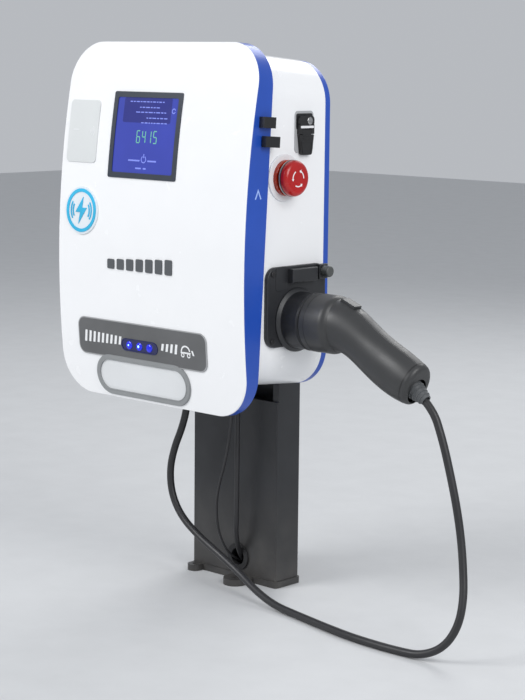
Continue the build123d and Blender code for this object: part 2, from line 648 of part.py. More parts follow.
def gun_form(inset):
    """Solid of the gun's housing, pulled in by an inset."""
    drum = rod_x(HOLSTER_Y, HOLSTER_Z, GUN_HEAD_R - inset, GUN_HEAD_X + inset, GUN_HEAD_END - inset)
    drum = soften(drum, drum.edges().group_by(Axis.X)[-1], 12 - inset)
    end_dip = radians(GRIP_END_DIP)
    end_x = GRIP_END_X - inset * cos(end_dip)
    end_z = GRIP_END_Z + inset * sin(end_dip)
    sections = [(241, HOLSTER_Z, 0, 35.5, 35.5), (267, 427, 9, 37.5, 35), (290, 421.5, 21, 33.5, 31)]
    sections += [(313, 409, 30, 31.5, 28), (345, 388.8, 30, 32.5, 27), (380, 371, 26, 33, 27.5)]
    sections.append((end_x, end_z, GRIP_END_DIP, 28.5, 25.5))
    ovals = []
    for x, z, dip, half_height, half_width in sections:
        ovals.append(dipping_plane(x, z, dip) * Ellipse(half_width - inset, half_height - inset))
    grip = loft(ovals)
    grip = soften(grip, grip.edges().sort_by(Axis.X)[-1:], 7 - inset)
    return drum + grip


def button_block(grow, low, high):
    """Thumb button outline, square to the grip's upper side."""
    middle = (low + high) / 2
    shape = Box(26 + 2 * grow, 15 + 2 * grow, high - low)
    return Pos(BUTTON_X, HOLSTER_Y, BUTTON_Z) * Rot(0, BUTTON_DIP, 0) * Pos(0, 0, middle) * shape


def make_gun():
    housing = gun_form(0) - gun_form(GUN_WALL)
    housing -= button_block(0.5, -14, 30)
    slot_z = HOLSTER_Z + 28
    housing -= block(GUN_HEAD_X - 2, GUN_HEAD_X + 6, HOLSTER_Y - 5, HOLSTER_Y + 5, slot_z, slot_z + 8)
    lead_plane = dipping_plane(*lead_point(RELIEF_START), LEAD_DIP)
    housing -= lead_plane * Pos(0, 0, 20) * Cylinder(RELIEF_RECESS_R, 40)
    front = housing & block(150, 500, HOLSTER_Y - 100, HOLSTER_Y, 250, 600)
    rear = housing & block(150, 500, HOLSTER_Y, HOLSTER_Y + 100, 250, 600)
    save("gun_shell_front", max(front.solids(), key=lambda s: s.volume))
    save("gun_shell_rear", max(rear.solids(), key=lambda s: s.volume))
    nose_back = GUN_HEAD_X - 10
    nose = rod_x(HOLSTER_Y, HOLSTER_Z, NOSE_R, SIDE_X + 9, GUN_HEAD_X)
    nose = soften(nose, nose.edges().group_by(Axis.X)[0], 1.5)
    nose -= rod_x(HOLSTER_Y, HOLSTER_Z, NOSE_R - 4, SIDE_X + 8, nose_back)
    nose += rod_x(HOLSTER_Y, HOLSTER_Z, NOSE_R - 6, SIDE_X + 14, nose_back + 1)
    pins = []
    for y, z, radius in pin_layout():
        nose -= rod_x(HOLSTER_Y + y, HOLSTER_Z + z, radius + 1.2, SIDE_X + 13, nose_back)
        pins.append(rod_x(HOLSTER_Y + y, HOLSTER_Z + z, radius, SIDE_X + 17, nose_back))
    save("gun_nose", nose)
    save("contact_pins", *pins)
    button = button_block(0, -10, 3.5)
    button = soften(button, button.edges().group_by(Axis.Z)[-1], 2)
    save("gun_button", button)
    hook_z = HOLSTER_Z + 34
    hook = block(SIDE_X + 12, GUN_HEAD_X + 14, HOLSTER_Y - 3.5, HOLSTER_Y + 3.5, hook_z - 2.4, hook_z)
    hook += block(SIDE_X + 12, SIDE_X + 17, HOLSTER_Y - 3.5, HOLSTER_Y + 3.5, hook_z, hook_z + 1.5)
    save("latch_hook", hook)
    length = RELIEF_END - RELIEF_START
    relief = lead_plane * (Pos(0, 0, length / 2) * Cone(RELIEF_R, 7.6, length))
    relief += (lead_plane * Pos(0, 0, -2) * Cylinder(RELIEF_SEAT_R, 4)) & gun_form(GUN_WALL + 0.3)
    save("strain_relief", relief - lead_plane * Cylinder(RELIEF_BORE_R, 3 * length))


def pin_layout():
    """Seven contacts of a charging plug: Y, Z and radius of each."""
    big = [(-10, 2, 3), (10, 2, 3), (0, 2, 3), (-6, -11, 3), (6, -11, 3)]
    small = [(-6, 14, 1.5), (6, 14, 1.5)]
    return big + small


# ---- cables ---------------------------------------------------------------------------------------

def cable(name, points, diameter):
    """Round cable along straight runs joined by tangent arcs, as large as the runs allow."""
    vectors = [Vector(*point) for point in points]
    radii = []
    for before, corner, after in zip(vectors, vectors[1:], vectors[2:]):
        turn = radians((corner - before).get_angle(after - corner))
        shorter = min((corner - before).length, (after - corner).length)
        radii.append(0.45 * shorter / tan(turn / 2))
    path = FilletPolyline(*vectors, radius=radii)
    section = Plane(origin=path @ 0, z_dir=path % 0) * Circle(diameter / 2)
    tube = sweep(section, path=path)
    ratio = tube.volume / (section.area * path.length)
    smallest = min(radii) / diameter
    print(f"{name}: length {path.length:.0f} mm, volume ratio {ratio:.4f}")
    print(f"  smallest radius {smallest:.1f} diameters")
    print("  radii", [round(radius) for radius in radii])
    save(name, tube)


def make_cables():
    x, y = CHARGE_GLAND
    charge = [(x, y, 342), (x, y, 302), (-43, -87, 265), (-54, -86, 235), (-70, -86, 203)]
    charge += [(-80, -86, 168), (-76, -86, 130), (-55, -86, 98), (-18, -86, 74), (30, -87, 53)]
    charge += [(72, -89, 34), (116, -99, 17), (163, -109, 7), (216, -118, 5.7), (272, -130, 5.7)]
    charge += [(332, -141, 5.7), (384, -144, 5.7)]
    charge += [(422, -143.5, 5.8), (458, -141, 7.2), (489, -134, 23), (504.5, -124, 52), (504.5, -113, 87)]
    charge += [(495, -103, 126), (486, -98, 167), (477, -98, 209), (465, -98, 251), (452, -98.2, 292)]
    for along in (RELIEF_END + 12, RELIEF_START + 4):
        inner_x, inner_z = lead_point(along)
        charge.append((inner_x, HOLSTER_Y, inner_z))
    cable("charging_cable", charge, CHARGE_CABLE_D)
    x, y = SUPPLY_GLAND
    supply = [(x, y, 340), (x, y, 290), (x - 0.5, y + 0.5, 235), (x, y, 180), (x - 0.5, y, 132)]
    supply += [(29, -51.5, 104), (25, -48, 78), (20, -39, 57), (14, -27, 40), (10, -14, 27)]
    cable("supply_cable", supply, SUPPLY_CABLE_D)
    x, y = DATA_GLAND
    data = [(x, y, 338), (x, y, 292), (32, -69, 240), (17, -64, 190), (0, -61, 150), (-7, -59, 116)]
    data += [(-5, -57, 82), (0, -49, 55), (3, -35, 37), (4, -14, 26)]
    cable("data_cable", data, DATA_CABLE_D)


make_column()
make_body()
make_door()
make_gear()
make_glands()
make_estop()
make_lock()
make_holster()
make_gun()
make_cables()
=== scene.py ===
import random
from math import atan, cos, radians, sin, sqrt, tau

import bmesh
import bpy
from mathutils import Matrix, Vector
from mathutils.bvhtree import BVHTree


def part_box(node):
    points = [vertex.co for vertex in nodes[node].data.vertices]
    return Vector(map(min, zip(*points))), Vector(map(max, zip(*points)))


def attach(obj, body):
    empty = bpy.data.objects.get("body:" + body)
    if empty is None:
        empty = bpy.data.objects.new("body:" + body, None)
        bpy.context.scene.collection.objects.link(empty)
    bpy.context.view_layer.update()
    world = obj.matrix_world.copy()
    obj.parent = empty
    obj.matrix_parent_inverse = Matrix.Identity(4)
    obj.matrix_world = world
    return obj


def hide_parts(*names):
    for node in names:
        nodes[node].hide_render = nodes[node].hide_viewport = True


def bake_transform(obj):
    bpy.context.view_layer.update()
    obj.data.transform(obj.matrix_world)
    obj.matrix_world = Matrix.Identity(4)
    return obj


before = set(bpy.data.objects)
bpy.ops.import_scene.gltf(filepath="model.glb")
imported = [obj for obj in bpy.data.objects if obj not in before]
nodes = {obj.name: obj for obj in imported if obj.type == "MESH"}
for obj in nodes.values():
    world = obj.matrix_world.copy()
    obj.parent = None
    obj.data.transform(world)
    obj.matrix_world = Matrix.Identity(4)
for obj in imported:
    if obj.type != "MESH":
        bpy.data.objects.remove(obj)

# Electric vehicle charging post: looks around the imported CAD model. Lengths are in metres.

random.seed(7)
MM = 0.001
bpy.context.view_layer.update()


# ---- camera -------------------------------------------------------------------------------------

CAMERA_PLACE = Vector((1.9498, -2.0538, 0.7935))
CAMERA_AZIMUTH = radians(43.05)
CAMERA_DIP = radians(8.86)
CAMERA_ROLL = radians(0.59)
CAMERA_LENS = 96.9


def make_camera():
    """Camera in front and to the right, a little above the middle of the box."""
    away = Vector((sin(CAMERA_AZIMUTH), -cos(CAMERA_AZIMUTH), 0))
    back = away * cos(CAMERA_DIP) + Vector((0, 0, sin(CAMERA_DIP)))
    level = (-back).cross(Vector((0, 0, 1))).normalized()
    upright = level.cross(-back)
    right = level * cos(CAMERA_ROLL) + upright * sin(CAMERA_ROLL)
    up = upright * cos(CAMERA_ROLL) - level * sin(CAMERA_ROLL)
    data = bpy.data.cameras.new("camera")
    data.lens = CAMERA_LENS
    data.clip_end = 30
    camera = bpy.data.objects.new("camera", data)
    bpy.context.scene.collection.objects.link(camera)
    turn = Matrix((right, up, back)).transposed().to_4x4()
    camera.matrix_world = Matrix.Translation(CAMERA_PLACE) @ turn
    bpy.context.scene.camera = camera


make_camera()


# ---- materials ----------------------------------------------------------------------------------

class Tree:
    """Short way to build a node material."""

    def __init__(self, name):
        self.material = bpy.data.materials.new(name)
        self.material.use_nodes = True
        self.tree = self.material.node_tree
        self.shader = self.tree.nodes["Principled BSDF"]
        self.place = self.node("ShaderNodeTexCoord").outputs["Object"]

    def node(self, kind, **settings):
        """New node with some of its settings."""
        made = self.tree.nodes.new(kind)
        for key, value in settings.items():
            setattr(made, key, value)
        return made

    def link(self, source, target):
        """Join an output to an input."""
        self.tree.links.new(source, target)

    def noise(self, scale, detail=3.0, stretch=None):
        """Noise texture in object space, optionally stretched."""
        made = self.node("ShaderNodeTexNoise")
        made.inputs["Scale"].default_value = scale
        made.inputs["Detail"].default_value = detail
        source = self.place
        if stretch:
            mapping = self.node("ShaderNodeMapping")
            mapping.inputs["Scale"].default_value = stretch
            self.link(self.place, mapping.inputs["Vector"])
            source = mapping.outputs["Vector"]
        self.link(source, made.inputs["Vector"])
        return made.outputs["Fac"]

    def spread(self, source, low, high):
        """Map a 0.3 to 0.7 noise value to a range."""
        made = self.node("ShaderNodeMapRange")
        made.inputs["From Min"].default_value = 0.3
        made.inputs["From Max"].default_value = 0.7
        made.inputs["To Min"].default_value = low
        made.inputs["To Max"].default_value = high
        self.link(source, made.inputs["Value"])
        return made.outputs["Result"]

    def two_tone(self, source, dark, light):
        """Colour that runs between two tones."""
        ramp = self.node("ShaderNodeValToRGB")
        ramp.color_ramp.elements[0].position = 0.3
        ramp.color_ramp.elements[1].position = 0.7
        ramp.color_ramp.elements[0].color = (*dark, 1)
        ramp.color_ramp.elements[1].color = (*light, 1)
        self.link(source, ramp.inputs["Fac"])
        return ramp.outputs["Color"]

    def bump(self, source, height, chained=None):
        """Add a bump of a given height in metres."""
        made = self.node("ShaderNodeBump")
        made.inputs["Strength"].default_value = 1.0
        made.inputs["Distance"].default_value = height
        self.link(source, made.inputs["Height"])
        if chained:
            self.link(chained, made.inputs["Normal"])
        return made.outputs["Normal"]


def finish_of(name, colour, roughness, grain=(600, 0.00002), tone=0.06, shine=0.06, metallic=0.0, coat=0.0,
              glow=0.0, dust=0.0, brushed=None):
    """Material with mottled colour, uneven gloss and fine grain, and glow, dust or brushing where asked."""
    tree = Tree(name)
    shader = tree.shader
    dark = [max(0.0, c * (1 - tone)) for c in colour]
    light = [min(1.0, c * (1 + tone) + tone * 0.004) for c in colour]
    shade = tree.two_tone(tree.noise(14, 4), dark, light)
    if dust:
        shade = dusted(tree, shade, dust)
    tree.link(shade, shader.inputs["Base Color"])
    gloss = tree.noise(38, 5, stretch=brushed)
    uneven = tree.spread(gloss, max(0.02, roughness - shine), roughness + shine)
    tree.link(uneven, shader.inputs["Roughness"])
    normal = tree.bump(tree.noise(grain[0], 2, stretch=brushed), grain[1])
    tree.link(normal, shader.inputs["Normal"])
    shader.inputs["Metallic"].default_value = metallic
    shader.inputs["Coat Weight"].default_value = coat
    shader.inputs["Coat Roughness"].default_value = 0.08
    if glow:
        shader.inputs["Emission Color"].default_value = (*colour, 1)
        shader.inputs["Emission Strength"].default_value = glow
    return tree.material


def dusted(tree, shade, amount):
    """Pale dust that gathers low down, broken up by noise."""
    split = tree.node("ShaderNodeSeparateXYZ")
    tree.link(tree.place, split.inputs["Vector"])
    height = tree.node("ShaderNodeMapRange")
    height.inputs["From Min"].default_value = 0.0
    height.inputs["From Max"].default_value = 0.16
    height.inputs["To Min"].default_value = amount
    height.inputs["To Max"].default_value = 0.0
    tree.link(split.outputs["Z"], height.inputs["Value"])
    patch = tree.node("ShaderNodeMath", operation="MULTIPLY")
    tree.link(height.outputs["Result"], patch.inputs[0])
    tree.link(tree.noise(30, 6), patch.inputs[1])
    mix = tree.node("ShaderNodeMix", data_type="RGBA")
    tree.link(patch.outputs["Value"], mix.inputs["Factor"])
    tree.link(shade, mix.inputs["A"])
    mix.inputs["B"].default_value = (0.24, 0.22, 0.19, 1)
    return mix.outputs["Result"]


POWDER = (2600, 0.00003)
MOULDED = (1500, 0.00003)
SMOOTH = (500, 0.000004)
BRUSHED = (1, 1, 30)

materials = {
    "column_paint": finish_of("powder_coat", (0.02, 0.021, 0.024), 0.42, POWDER, tone=0.12, dust=0.3),
    "cap_plastic": finish_of("cap_plastic", (0.02, 0.02, 0.022), 0.5, MOULDED),
    "rubber": finish_of("rubber", (0.014, 0.014, 0.015), 0.62, MOULDED, tone=0.15),
    "zinc": finish_of("zinc_plate", (0.62, 0.62, 0.6), 0.32, SMOOTH, metallic=1.0, brushed=BRUSHED,
                      tone=0.1),
    "body_white": finish_of("gloss_white", (0.9, 0.905, 0.915), 0.22, SMOOTH, tone=0.008, coat=0.25),
    "trim_blue": finish_of("gloss_blue", (0.014, 0.075, 0.44), 0.34, SMOOTH, tone=0.05, coat=0.12),
    "hasp_black": finish_of("black_coat", (0.012, 0.012, 0.013), 0.45, POWDER, tone=0.15),
    "lcd_frame": finish_of("display_frame", (0.03, 0.038, 0.055), 0.38, MOULDED),
    "lcd_screen": finish_of("display_screen", (0.022, 0.035, 0.27), 0.16, SMOOTH, coat=0.5, glow=0.55,
                            tone=0.1),
    "lcd_dark": finish_of("display_dark", (0.01, 0.014, 0.15), 0.2, SMOOTH, coat=0.5, glow=0.5),
    "lcd_text": finish_of("display_text", (0.16, 0.2, 0.6), 0.3, SMOOTH, glow=0.5),
    "lcd_digits": finish_of("display_digits", (0.12, 0.36, 0.28), 0.3, SMOOTH, glow=0.45),
    "board_green": finish_of("circuit_board", (0.01, 0.1, 0.045), 0.35, SMOOTH, tone=0.2),
    "reader_grey": finish_of("reader_grey", (0.66, 0.68, 0.68), 0.45, MOULDED, tone=0.03),
    "badge_white": finish_of("badge_white", (0.78, 0.83, 0.87), 0.2, SMOOTH, coat=0.5, tone=0.02),
    "badge_cyan": finish_of("badge_cyan", (0.03, 0.46, 0.74), 0.22, SMOOTH, coat=0.5, tone=0.2),
    "bars_grey": finish_of("bars_grey", (0.085, 0.092, 0.1), 0.4, MOULDED),
    "strip_grey": finish_of("strip_grey", (0.11, 0.112, 0.115), 0.38, SMOOTH, tone=0.12, coat=0.1),
    "strip_edge": finish_of("strip_edge", (0.34, 0.345, 0.35), 0.3, SMOOTH),
    "mark_white": finish_of("mark_white", (0.86, 0.87, 0.88), 0.4, SMOOTH, tone=0.02),
    "led_blue": finish_of("light_window", (0.002, 0.005, 0.07), 0.16, SMOOTH, coat=0.2, glow=0.15),
    "led_lens": finish_of("light_lens", (0.004, 0.012, 0.55), 0.1, SMOOTH, coat=0.4, glow=0.5),
    "led_spark": finish_of("light_spark", (0.25, 0.55, 1.0), 0.2, SMOOTH, glow=2.4),
    "oval_grey": finish_of("oval_grey", (0.27, 0.28, 0.285), 0.35, MOULDED, tone=0.05),
    "oval_light": finish_of("oval_light", (0.74, 0.755, 0.765), 0.36, SMOOTH, tone=0.025),
    "module_grey": finish_of("module_grey", (0.52, 0.53, 0.53), 0.42, MOULDED),
    "terminal_beige": finish_of("terminal_beige", (0.5, 0.45, 0.34), 0.45, MOULDED),
    "black_plastic": finish_of("black_plastic", (0.014, 0.014, 0.015), 0.4, MOULDED, tone=0.15),
    "brass": finish_of("brass", (0.62, 0.42, 0.14), 0.28, SMOOTH, metallic=1.0),
    "steel": finish_of("steel", (0.5, 0.5, 0.5), 0.28, SMOOTH, metallic=1.0),
    "plate_white": finish_of("plate_white", (0.82, 0.82, 0.84), 0.3, SMOOTH, tone=0.02, coat=0.2),
    "estop_red": finish_of("stop_red", (0.42, 0.001, 0.001), 0.3, SMOOTH, coat=0.25, tone=0.12),
    "lock_grey": finish_of("lock_grey", (0.42, 0.43, 0.44), 0.35, MOULDED),
    "holster_black": finish_of("holster_black", (0.02, 0.021, 0.024), 0.44, MOULDED, tone=0.12),
    "gun_black": finish_of("gun_black", (0.034, 0.035, 0.036), 0.42, MOULDED, tone=0.08),
    "relief_grey": finish_of("relief_grey", (0.085, 0.09, 0.095), 0.5, MOULDED),
    "knob_grey": finish_of("knob_grey", (0.075, 0.08, 0.078), 0.42, MOULDED),
    "meter_window": finish_of("meter_window", (0.16, 0.2, 0.16), 0.2, SMOOTH, coat=0.5),
    "signal_red": finish_of("signal_red", (0.6, 0.02, 0.01), 0.3, SMOOTH, glow=0.3),
    "pale_line": finish_of("pale_line", (0.35, 0.5, 0.9), 0.4, SMOOTH, tone=0.02),
    "cable_black": finish_of("cable_black", (0.02, 0.02, 0.022), 0.42, (1100, 0.00003), tone=0.15),
}


def collar_red():
    """Translucent red of the stop button's collar."""
    tree = Tree("collar_red")
    shade = tree.two_tone(tree.noise(60, 3), (0.34, 0.004, 0.002), (0.75, 0.06, 0.01))
    tree.link(shade, tree.shader.inputs["Base Color"])
    tree.link(tree.spread(tree.noise(90), 0.08, 0.18), tree.shader.inputs["Roughness"])
    tree.shader.inputs["Transmission Weight"].default_value = 0.35
    tree.shader.inputs["IOR"].default_value = 1.49
    return tree.material


materials["collar_red"] = collar_red()

NODE_FINISH = {
    "foot_plate": "column_paint", "column_channel": "column_paint", "column_front_covers": "column_paint",
    "column_cap": "cap_plastic", "cable_grommet": "rubber", "mount_fasteners": "zinc",
    "flange_screws": "black_plastic", "body_shell": "body_white", "rear_stripe_frame": "trim_blue",
    "back_plate": "zinc", "door_gasket": "rubber", "body_hinges": "zinc", "door_hinge_leaves": "zinc",
    "body_hasp": "hasp_black", "door_hasp": "hasp_black", "din_rails": "zinc",
    "circuit_breaker": "module_grey", "energy_meter": "module_grey",
    "rail_modules": "module_grey", "terminal_blocks": "terminal_beige", "control_board": "board_green",
    "cable_glands": "black_plastic", "panel_nuts": "brass", "estop_escutcheon": "plate_white",
    "estop_collar": "collar_red", "estop_contact_block": "module_grey", "estop_plunger": "module_grey",
    "estop_head": "estop_red", "lock_bezel": "lock_grey", "lock_spindle": "black_plastic",
    "lock_lever": "black_plastic", "holster_flange": "holster_black", "holster_collar": "holster_black",
    "holster_lock_housing": "holster_black", "holster_knob": "knob_grey", "front_panel": "body_white",
    "side_band": "trim_blue", "lcd_bezel": "lcd_frame", "lcd_glass": "lcd_screen",
    "door_electronics": "board_green", "card_reader_pad": "reader_grey", "badge_disc": "badge_white",
    "badge_symbol": "badge_cyan", "level_bars": "bars_grey", "label_strip": "strip_grey",
    "led_window": "led_blue", "oval_frame": "oval_grey", "oval_plate": "oval_light",
    "gun_shell_front": "gun_black", "gun_shell_rear": "gun_black", "gun_nose": "black_plastic",
    "contact_pins": "brass", "gun_button": "gun_black", "latch_hook": "steel",
    "strain_relief": "relief_grey", "breaker_toggle": "black_plastic", "charging_cable": "cable_black",
    "supply_cable": "cable_black", "data_cable": "cable_black",
}


def dress(obj, finish):
    """Give an object one material."""
    obj.data.materials.clear()
    obj.data.materials.append(materials[finish])


for node_name, finish_name in NODE_FINISH.items():
    dress(nodes[node_name], finish_name)


# ---- mesh helpers -------------------------------------------------------------------------------

def piece(name, mesh, finish, body, smooth=True):
    """New object from a bmesh, riding on a body."""
    data = bpy.data.meshes.new(name)
    bmesh.ops.recalc_face_normals(mesh, faces=mesh.faces)
    mesh.to_mesh(data)
    mesh.free()
    obj = bpy.data.objects.new(name, data)
    bpy.context.scene.collection.objects.link(obj)
    if smooth:
        data.shade_smooth()
        edge_split = obj.modifiers.new("crisp", "EDGE_SPLIT")
        edge_split.split_angle = radians(38)
    dress(obj, finish)
    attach(obj, body)
    return obj


def rounded(obj, width, segments=2):
    """Bevel the sharp edges of a piece."""
    bevel = obj.modifiers.new("rounded", "BEVEL")
    bevel.width = width
    bevel.segments = segments
    bevel.limit_method = "ANGLE"
    bevel.angle_limit = radians(40)
    obj.modifiers.move(len(obj.modifiers) - 1, 0)
    return obj


def lathe(mesh, profile, place, around=64):
    """Turn a profile of (distance along, radius) points about the X axis of a placed frame."""
    rings = []
    for along, radius in profile:
        if radius < 1e-7:
            rings.append([mesh.verts.new(place @ Vector((along, 0, 0)))])
            continue
        ring = []
        for index in range(around):
            angle = tau * index / around
            ring.append(mesh.verts.new(place @ Vector((along, radius * cos(angle), radius * sin(angle)))))
        rings.append(ring)
    for first, second in zip(rings, rings[1:]):
        for index in range(around):
            after = (index + 1) % around
            if len(first) == 1:
                mesh.faces.new((first[0], second[after], second[index]))
            elif len(second) == 1:
                mesh.faces.new((first[index], first[after], second[0]))
            else:
                mesh.faces.new((first[index], first[after], second[after], second[index]))
    for ring in (rings[0], rings[-1]):
        if len(ring) > 1:
            mesh.faces.new(ring)


# ---- the bowed face -----------------------------------------------------------------------------

DOOR_ORIGIN = Vector((0, -0.1669, 0.5523))
DOOR_TILT = atan(0.058)
FACE_RADIUS = 1.4
FACE_DEPTH = 0.0425
FACE_PEAK = 0.016


def in_door(x, y, z):
    """Row-frame point from the door's own frame, in metres."""
    turned_y = y * cos(DOOR_TILT) + z * sin(DOOR_TILT)
    turned_z = z * cos(DOOR_TILT) - y * sin(DOOR_TILT)
    return DOOR_ORIGIN + Vector((x, turned_y, turned_z))


def on_face(x, z, height):
    """Row-frame point over the face, from the door's own x and z in mm and a height above it in mm."""
    x, z, height = x * MM, z * MM, height * MM
    y = FACE_RADIUS - FACE_DEPTH - sqrt((FACE_RADIUS + height) ** 2 - (z - FACE_PEAK) ** 2)
    return in_door(x, y, z)


def face_prism(mesh, outline, low, high):
    """Plate over the face with a given outline, between two heights in mm."""
    bottom = [mesh.verts.new(on_face(x, z, low)) for x, z in outline]
    top = [mesh.verts.new(on_face(x, z, high)) for x, z in outline]
    mesh.faces.new(top)
    mesh.faces.new(list(reversed(bottom)))
    for index in range(len(outline)):
        after = (index + 1) % len(outline)
        mesh.faces.new((bottom[index], bottom[after], top[after], top[index]))


def face_band(mesh, outer, inner, low, high):
    """Ring over the face between two outlines with the same number of points."""
    loops = []
    for outline, height in ((outer, low), (outer, high), (inner, high), (inner, low)):
        loops.append([mesh.verts.new(on_face(x, z, height)) for x, z in outline])
    for first, second in zip(loops, loops[1:] + loops[:1]):
        for index in range(len(outer)):
            after = (index + 1) % len(outer)
            mesh.faces.new((first[index], first[after], second[after], second[index]))


def arc_points(x, z, radius, start, end, count):
    """Points along an arc, angles in degrees."""
    steps = [radians(start + (end - start) * index / (count - 1)) for index in range(count)]
    return [(x + radius * cos(a), z + radius * sin(a)) for a in steps]


def round_box(x, z, width, height, corner, count=6):
    """Outline of a rounded rectangle."""
    half_width = width / 2 - corner
    half_height = height / 2 - corner
    points = []
    for sx, sz, start in ((1, 1, 0), (-1, 1, 90), (-1, -1, 180), (1, -1, 270)):
        points += arc_points(x + sx * half_width, z + sz * half_height, corner, start, start + 90, count)
    return points


def arc_strip(x, z, radius, width, start, end, count=24):
    """Outline of a curved stroke."""
    outer = arc_points(x, z, radius + width / 2, start, end, count)
    inner = arc_points(x, z, radius - width / 2, end, start, count)
    return outer + inner


def slanted(x, z, width, height, lean):
    """Outline of a leaning bar."""
    half = width / 2
    return [(x - half, z - height / 2), (x + half, z - height / 2), (x + half + lean, z + height / 2),
            (x - half + lean, z + height / 2)]


# ---- display ------------------------------------------------------------------------------------

LCD_X = -18.0
LCD_Z = 125.8
PRINT_LOW = -0.1
PRINT_HIGH = 0.22
READOUT = "6415"
SEGMENTS = {"1": "bc", "4": "bcfg", "5": "acdfg", "6": "acdefg"}


def digit_bars(x, z, width, height, stroke, which):
    """Outlines of the lit bars of one seven-segment digit."""
    half = height / 2
    bars = {
        "a": (x, z + half, width, 0), "g": (x, z, width, 0), "d": (x, z - half, width, 0),
        "f": (x - width / 2, z + half / 2, 0, half), "b": (x + width / 2, z + half / 2, 0, half),
        "e": (x - width / 2, z - half / 2, 0, half), "c": (x + width / 2, z - half / 2, 0, half),
    }
    outlines = []
    for key in SEGMENTS[which]:
        bar_x, bar_z, long_x, long_z = bars[key]
        outlines.append(round_box(bar_x, bar_z, max(long_x - stroke * 0.4, stroke),
                                  max(long_z - stroke * 0.4, stroke), stroke * 0.35, 3))
    return outlines


def make_display():
    """Dark header, rows of unreadable dashes, a few symbols and four digits on the screen."""
    shade = bmesh.new()
    face_prism(shade, round_box(LCD_X, LCD_Z + 36, 98, 36, 3), PRINT_LOW, 0.12)
    piece("screen_header", shade, "lcd_dark", "door", smooth=False)
    rows = bmesh.new()

    def print_on(outline):
        face_prism(rows, outline, PRINT_LOW, PRINT_HIGH)

    widths = {48: (0, 74), 40: (4, 40), 33: (10, 66), 25: (20, 40), 18: (16, 52)}
    for offset, (shift, width) in widths.items():
        x = LCD_X + shift - width / 2
        while x < LCD_X + shift + width / 2 - 3:
            step = random.uniform(3, 9)
            print_on(round_box(x + step / 2, LCD_Z + offset, step, 1.5, 0.4, 2))
            x += step + 1.8
    for offset, start, end in ((-36, -30, -6), (-36, 10, 28), (-47, -14, -2), (-47, 2, 8)):
        print_on(round_box(LCD_X + (start + end) / 2, LCD_Z + offset, end - start, 2.2, 0.8, 3))
    print_on(arc_strip(LCD_X + 2, LCD_Z - 34, 4.6, 1.4, 120, 420))
    print_on(round_box(LCD_X + 2, LCD_Z - 29, 1.6, 6, 0.5, 2))
    print_on(arc_strip(LCD_X + 54, LCD_Z + 36, 3.2, 1.2, 20, 340))
    piece("screen_rows", rows, "lcd_text", "door", smooth=False)
    digits = bmesh.new()
    for index, figure in enumerate(READOUT):
        for outline in digit_bars(LCD_X - 13 + index * 11.5, LCD_Z - 2, 6.2, 17, 1.5, figure):
            face_prism(digits, outline, PRINT_LOW, 0.25)
    piece("screen_digits", digits, "lcd_digits", "door", smooth=False)


make_display()


# ---- face fittings ------------------------------------------------------------------------------

BADGE_X = -140.0
BADGE_Z = 12.0
STRIP_X = -15.5
STRIP_Z = -172.5
MARK_Z = STRIP_Z - 0.5
PLUG_X = 77.0
LED_X = -18.0
LED_Z = -177.5
LED_STEP = 21.0
OVAL_X = -16.5
OVAL_Z = -226.0
MARK_LOW = 1.4
MARK_HIGH = 1.75
PAD_LOW = 1.4
PAD_HIGH = 1.8


def make_badge():
    """Short curved strokes inside the badge's ring."""
    waves = bmesh.new()
    for radius, spread in ((22, 34), (17.5, 30)):
        for middle in (0, 180):
            stroke = arc_strip(BADGE_X, BADGE_Z, radius, 2.2, middle - spread, middle + spread)
            face_prism(waves, stroke, 2, 2.9)
    piece("badge_waves", waves, "badge_cyan", "door")


def make_strip_marks():
    """Rows of leaning bars and a plug outline on the dark strip, and its grey edge."""
    outlines = [slanted(-134 + index * 9.2, MARK_Z, 4.4, 17 - 0.6 * index, 2.4) for index in range(9)]
    outlines += [slanted(29 + index * 9.2, MARK_Z, 4.4, 10 + 1.4 * index, 2.4) for index in range(4)]
    outlines.append(arc_strip(PLUG_X, MARK_Z - 2, 8.5, 2.2, 10, 190))
    outlines.append(round_box(PLUG_X, MARK_Z - 3, 20, 2.2, 0.8, 3))
    outlines += [arc_strip(PLUG_X + side * 6, MARK_Z - 6.5, 2.6, 1.6, 0, 350) for side in (-1, 1)]
    outlines.append(slanted(PLUG_X + 16, MARK_Z - 2, 3, 7, -3))
    marks = bmesh.new()
    for outline in outlines:
        face_prism(marks, outline, MARK_LOW, MARK_HIGH)
    piece("strip_marks", marks, "mark_white", "door", smooth=False)
    edge = bmesh.new()
    outer = round_box(STRIP_X, STRIP_Z, 268.4, 55.4, 13.7, 10)
    inner = round_box(STRIP_X, STRIP_Z, 265.0, 52.0, 12.0, 10)
    face_band(edge, outer, inner, -0.3, 1.6)
    rounded(piece("strip_edge", edge, "strip_edge", "door"), 0.0002)


